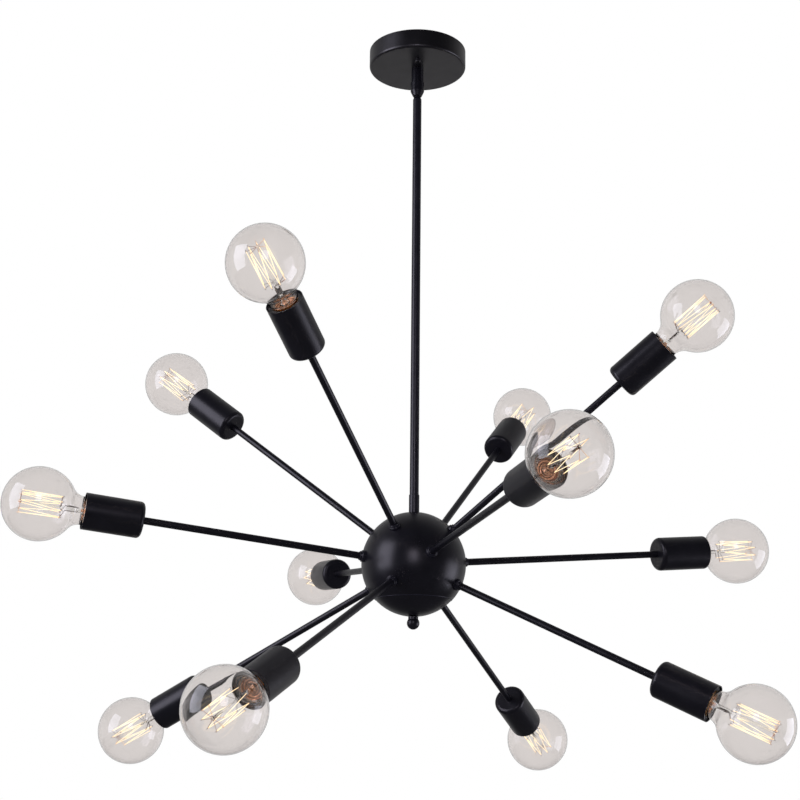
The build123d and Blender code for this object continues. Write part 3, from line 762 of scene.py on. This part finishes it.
# The lower edge is drawn in over the plug, and the upper one is carried on as a plain collar.
rim = rim_at(bm, CAP_SCREW_FROM)
for radius, height in ((CAP_ROOT_R, PLUG_TO + 0.0006), (PLUG_R + 0.0004, PLUG_TO - 0.0002),
                       (PLUG_R - 0.0010, PLUG_TO - 0.0003)):
    rim = drawn_to(bm, rim, radius, height)
rim = rim_at(bm, CAP_SCREW_TO)
for radius, height in ((CAP_ROOT_R + 0.0001, CAP_SCREW_TO + 0.0007), (CAP_COLLAR_R, CAP_SCREW_TO + 0.0014),
                       (CAP_COLLAR_R, CAP_TOP - 0.0004), (CAP_COLLAR_R + 0.0001, CAP_TOP)):
    rim = drawn_to(bm, rim, radius, height)
closed_smooth(bm)
bmesh.ops.solidify(bm, geom=bm.faces[:], thickness=CAP_WALL)
place_in_bulbs(bm, "cap_sleeve", brass)


def turned_body(points, steps=48):
    """Closed body of revolution through radius and height pairs, from pole to pole."""
    bm = bmesh.new()
    vert = bm.verts.new((points[0][0], 0, points[0][1]))
    for radius, height in points[1:]:
        vert = line(bm, vert, radius, height)
    turn_solid(bm, steps)
    return bm


vitrite = moulded("black_glass_plug", dark=(0.006, 0.006, 0.007), light=(0.011, 0.011, 0.013), smooth=0.06,
                  rough=0.14)
plug = turned_body(((0, PLUG_FROM - 0.0003), (TIN_R, PLUG_FROM - 0.0003), (TIN_R + 0.0007, PLUG_FROM),
                    (PLUG_R, PLUG_TO - 0.0008), (PLUG_R, PLUG_TO), (PLUG_R, PLUG_INSIDE),
                    (TIN_R, PLUG_INSIDE - 0.001), (0, PLUG_INSIDE - 0.001)))
place_in_bulbs(plug, "cap_plug", vitrite, sharp=40)

tin = plated("tin", dark=(0.48, 0.48, 0.48), light=(0.62, 0.62, 0.61), smooth=0.38, rough=0.55)
drop = turned_body(((0, 0), (TIN_R * 0.55, 0.0002), (TIN_R * 0.86, 0.0006), (TIN_R, 0.0012),
                    (TIN_R, 0.0018), (0, 0.0018)))
place_in_bulbs(drop, "cap_contact", tin)

cement = moulded("basing_cement", dark=(0.36, 0.26, 0.17), light=(0.52, 0.41, 0.29), smooth=0.80, rough=0.95,
                 uneven="Specks", peel_scale=1400.0, peel_depth=0.00012)
bm = bmesh.new()
first = bm.verts.new((GLASS_FOOT_D / 2 + 0.0001, 0, CEMENT_FOOT_AT))
vert = line(bm, first, CEMENT_R, CEMENT_FOOT_AT)
vert = line(bm, vert, CEMENT_R, CAP_TOP - 0.0001)
vert = line(bm, vert, GLASS_FOOT_D / 2 + 0.0004, CAP_TOP + 0.0003)
bm.edges.new((vert, first))
turn_solid(bm, 64)
place_in_bulbs(bm, "cap_cement", cement)


# ---- Cap dishes ----
# Pressed copper-washed dish in the mouth of the cap, under the stem, with rings rolled in it
# whose grooves are darkened with painted shade.
DISH_R = 0.01145
DISH_AT = 0.0246
DISH_DEPTH = 0.0026
DISH_FOOT_AT = GLASS_FOOT_AT - 0.0016
DISH_RINGS = 4
DISH_STEPS = 40
STEPS_UNDER_BOSS = 7
RIPPLE = 0.00035
BOSS_R = 0.0018
BOSS_AT = 0.0300
GROOVE_SHADE = (0.11, 0.050, 0.030)

copper = plated("copper_wash", dark=(0.52, 0.25, 0.14), light=(0.76, 0.42, 0.26), smooth=0.18, rough=0.30)
tree = copper.node_tree
groove = tree.nodes.new("ShaderNodeAttribute")
groove.attribute_name = "groove"
base = tree.nodes["Principled BSDF"].inputs["Base Color"]
# Painted shade: the copper is mixed towards a dark brown where the groove attribute is high.
feed(tree, base, mixed(tree, groove.outputs["Fac"], base.links[0].from_socket, GROOVE_SHADE))

bm = bmesh.new()
depth_of = bm.verts.layers.float.new("groove")
vert = bm.verts.new((0, 0, BOSS_AT))
vert = line(bm, vert, BOSS_R * 0.8, BOSS_AT)
vert = line(bm, vert, BOSS_R, BOSS_AT - 0.0006)
for k in range(STEPS_UNDER_BOSS, DISH_STEPS + 1):
    share = k / DISH_STEPS
    ripple = cos(share * DISH_RINGS * 2 * pi)
    vert = line(bm, vert, DISH_R * share, DISH_AT - DISH_DEPTH * (1 - share ** 3) + RIPPLE * ripple)
    vert[depth_of] = max(0.0, -ripple) ** 1.5
vert = line(bm, vert, DISH_R, DISH_FOOT_AT)
line(bm, vert, 0, DISH_FOOT_AT)
turn_solid(bm, 64)
place_in_bulbs(bm, "cap_dish", copper)


# ---- Glass stems ----
# Inside each globe a glass tube stands in the foot of the neck. It is pinched flat round
# the two lead wires and goes on as a thin rod with two beads that hold the support wires.
TUBE_R = 0.0027
TUBE_AT = 0.0325
PRESS_FROM = 0.0365
PRESS_TO = 0.0440
PRESS_WIDER = 1.30
PRESS_THINNER = 0.55
ROD_R = 0.0012
BEAD_R = 0.0022
BEAD_HALF = 0.0019
CAGE_LOW = 0.0510
CAGE_HIGH = 0.0940
STEM_TINT = (0.95, 0.96, 0.95)

stem_glass = glass.copy()
stem_glass.name = "stem_glass"
tree = stem_glass.node_tree
feed(tree, tree.nodes["Principled BSDF"].inputs["Base Color"], STEM_TINT)

# Radius and height pairs: down the tube's bore, round its flared foot and up its outside.
stem_line = [
    (0, PRESS_FROM - 0.001),
    (TUBE_R * 0.55, PRESS_FROM - 0.0018),
    (TUBE_R - 0.0010, TUBE_AT),
    (TUBE_R - 0.0004, TUBE_AT - 0.0035),
    (TUBE_R + 0.0008, TUBE_AT - 0.0060),
    (TUBE_R + 0.0026, DISH_AT + 0.0004),
    (TUBE_R + 0.0032, DISH_AT + 0.0006),
    (TUBE_R + 0.0014, TUBE_AT - 0.0058),
    (TUBE_R + 0.0002, TUBE_AT - 0.0030),
    (TUBE_R, TUBE_AT),
    (TUBE_R, PRESS_FROM),
    (TUBE_R, PRESS_TO - 0.0008),
    (TUBE_R * 0.75, PRESS_TO),
    (ROD_R * 1.5, PRESS_TO + 0.0009),
    (ROD_R, PRESS_TO + 0.0025)]
for middle, end_r in ((CAGE_LOW, ROD_R), (CAGE_HIGH, 0)):
    stem_line.append((ROD_R, middle - 0.0020))
    for lean in (-60, -30, 0, 30, 60):
        stem_line.append((BEAD_R * cos(radians(lean)), middle + BEAD_HALF * sin(radians(lean))))
    stem_line.append((end_r, middle + 0.0020))
stem = turned_body(stem_line, 32)
for vert in stem.verts:
    if PRESS_FROM - 0.0001 <= vert.co.z <= PRESS_TO + 0.0001:
        vert.co.x *= PRESS_WIDER
        vert.co.y *= PRESS_THINNER
place_in_bulbs(stem, "stem", stem_glass)


# ---- Filaments ----
# Coiled tungsten wire, as thick as its coil, strung as a cage round the stem over seven upper and
# six lower hooks, its ends on the two lead wires. It glows yellow, and redder near the hooks.
CAGE_R = 0.0120
LOWER_ENDS = 8               # six hooks and the two lead wires
STRAND_R = 0.00031
SUPPORT_R = 0.00024
LEAD_R = 0.00042
LEAD_APART = 0.0022
LEAD_BEND = 0.0008
LEAD_RISE = 0.0030
LEAD_IN_STEM = 0.0105
HOOK_R = 0.0007
HOOK_TURN = 230
COLD = (0, 0, 0)
STRAND_HEATS = (0.80, 1.0, 0.80)
SUPPORT_HEATS = (0, 0.08, 0.42)
LEAD_HEATS = (0, 0, 0.3)
HOOK_HEAT = 0.45
HEAT_COLOURS = ((0.05, (0, 0, 0)), (0.35, (0.30, 0.07, 0.015)), (0.68, (1.0, 0.58, 0.22)),
                (1.0, (1.0, 0.90, 0.58)))


def wire(bm, start, end, radius, heats=COLD, sides=6, cuts=0):
    """Round wire between two points, with the heat at its start, middle and end."""
    glow = bm.verts.layers.float["glow"]
    run = end - start
    place = Matrix.Translation((start + end) / 2) @ run.to_track_quat("Z", "Y").to_matrix().to_4x4()
    others = set(bm.verts)
    verts = bmesh.ops.create_cone(bm, cap_ends=True, segments=sides, radius1=radius, radius2=radius,
                                  depth=run.length, matrix=place)["verts"]
    if cuts:
        along = dict.fromkeys(edge for vert in verts for edge in vert.link_edges
                              if (edge.verts[0].co - edge.verts[1].co).length > run.length / 2)
        bmesh.ops.subdivide_edges(bm, edges=list(along), cuts=cuts)
    for vert in set(bm.verts) - others:
        t = (vert.co - start).dot(run) / run.length_squared
        near, far = (heats[0], heats[1]) if t < 0.5 else (heats[1], heats[2])
        vert[glow] = near + (far - near) * (2 * t if t < 0.5 else 2 * t - 1)


def around(radius, turn, height):
    """Point at a radius from the bulb's axis, an angle in degrees and a height."""
    return Vector((radius * cos(radians(turn)), radius * sin(radians(turn)), height))


def hook(bm, turn, height, way):
    """Open loop at the end of a support wire, which the filament is hung in."""
    glow = bm.verts.layers.float["glow"]
    at = around(CAGE_R, turn, height)
    out = around(1, turn, 0)
    place = Matrix.Translation(at) @ out.to_track_quat("Z", "Y").to_matrix().to_4x4()
    made = bmesh.ops.create_circle(bm, segments=5, radius=SUPPORT_R, matrix=place)["verts"]
    ring = dict.fromkeys(edge for vert in made for edge in vert.link_edges)
    bmesh.ops.spin(bm, geom=made + list(ring), cent=at + Vector((0, 0, way * HOOK_R)),
                   axis=Vector((0, 0, 1)).cross(out), angle=-way * radians(HOOK_TURN), steps=7)
    for vert in bm.verts:
        if (vert.co - at).length < 3 * HOOK_R and vert[glow] == 0:
            vert[glow] = HOOK_HEAT


def support(bm, turn, height, way):
    """Wire from the stem's rod to the cage, with a hook at its end."""
    wire(bm, around(ROD_R, turn, height), around(CAGE_R, turn, height), SUPPORT_R, SUPPORT_HEATS,
         sides=5, cuts=4)
    hook(bm, turn, height, way)


step = 360 / LOWER_ENDS
lower = [k * step for k in range(LOWER_ENDS)]

strands = bmesh.new()
strands.verts.layers.float.new("glow")
for turn in lower[:-1]:
    top = around(CAGE_R, turn + step / 2, CAGE_HIGH)
    for foot_turn in (turn, turn + step):
        wire(strands, around(CAGE_R, foot_turn, CAGE_LOW), top, STRAND_R, STRAND_HEATS, cuts=7)

supports = bmesh.new()
supports.verts.layers.float.new("glow")
for turn in lower[:-1]:
    support(supports, turn + step / 2, CAGE_HIGH, 1)
for turn in lower[1:-1]:
    support(supports, turn, CAGE_LOW, -1)
for turn, side in ((lower[0], 1), (lower[-1], -1)):
    foot = Vector((side * LEAD_APART, 0, PRESS_TO - 0.0005))
    bend = foot + Vector((side * LEAD_BEND, 0, LEAD_RISE))
    wire(supports, foot - Vector((0, 0, LEAD_IN_STEM)), foot, LEAD_R * 0.8)
    wire(supports, foot, bend, LEAD_R)
    wire(supports, bend, around(CAGE_R, turn, CAGE_LOW), LEAD_R, LEAD_HEATS, cuts=3)


def glowing(name, metal, strength):
    """Wire that shines by its heat, through a ramp of colours."""
    material, tree, surface, node = finish_of(name, plating)
    feed(tree, surface.inputs["Metallic"], 1.0)
    shade = tuple(0.8 * c for c in metal)
    feed(tree, surface.inputs["Base Color"], mixed(tree, node.outputs["Spangle"], shade, metal))
    feed(tree, surface.inputs["Roughness"], ranged(tree, node.outputs["Spangle"], 0.35, 0.5))
    heat = tree.nodes.new("ShaderNodeAttribute")
    heat.attribute_name = "glow"
    ramp = tree.nodes.new("ShaderNodeValToRGB")
    elements = ramp.color_ramp.elements
    for element, (position, colour) in zip(elements, (HEAT_COLOURS[0], HEAT_COLOURS[-1])):
        element.position = position
        element.color = (*colour, 1)
    for position, colour in HEAT_COLOURS[1:-1]:
        elements.new(position).color = (*colour, 1)
    tree.links.new(heat.outputs["Fac"], ramp.inputs["Fac"])
    tree.links.new(ramp.outputs["Color"], surface.inputs["Emission Color"])
    feed(tree, surface.inputs["Emission Strength"], strength)
    return material


tungsten = glowing("hot_tungsten", metal=(0.35, 0.32, 0.30), strength=1.75)
molybdenum = glowing("support_wire", metal=(0.26, 0.22, 0.20), strength=1.0)
closed_smooth(strands)
closed_smooth(supports)
place_in_bulbs(strands, "filament", tungsten)
place_in_bulbs(supports, "supports", molybdenum)
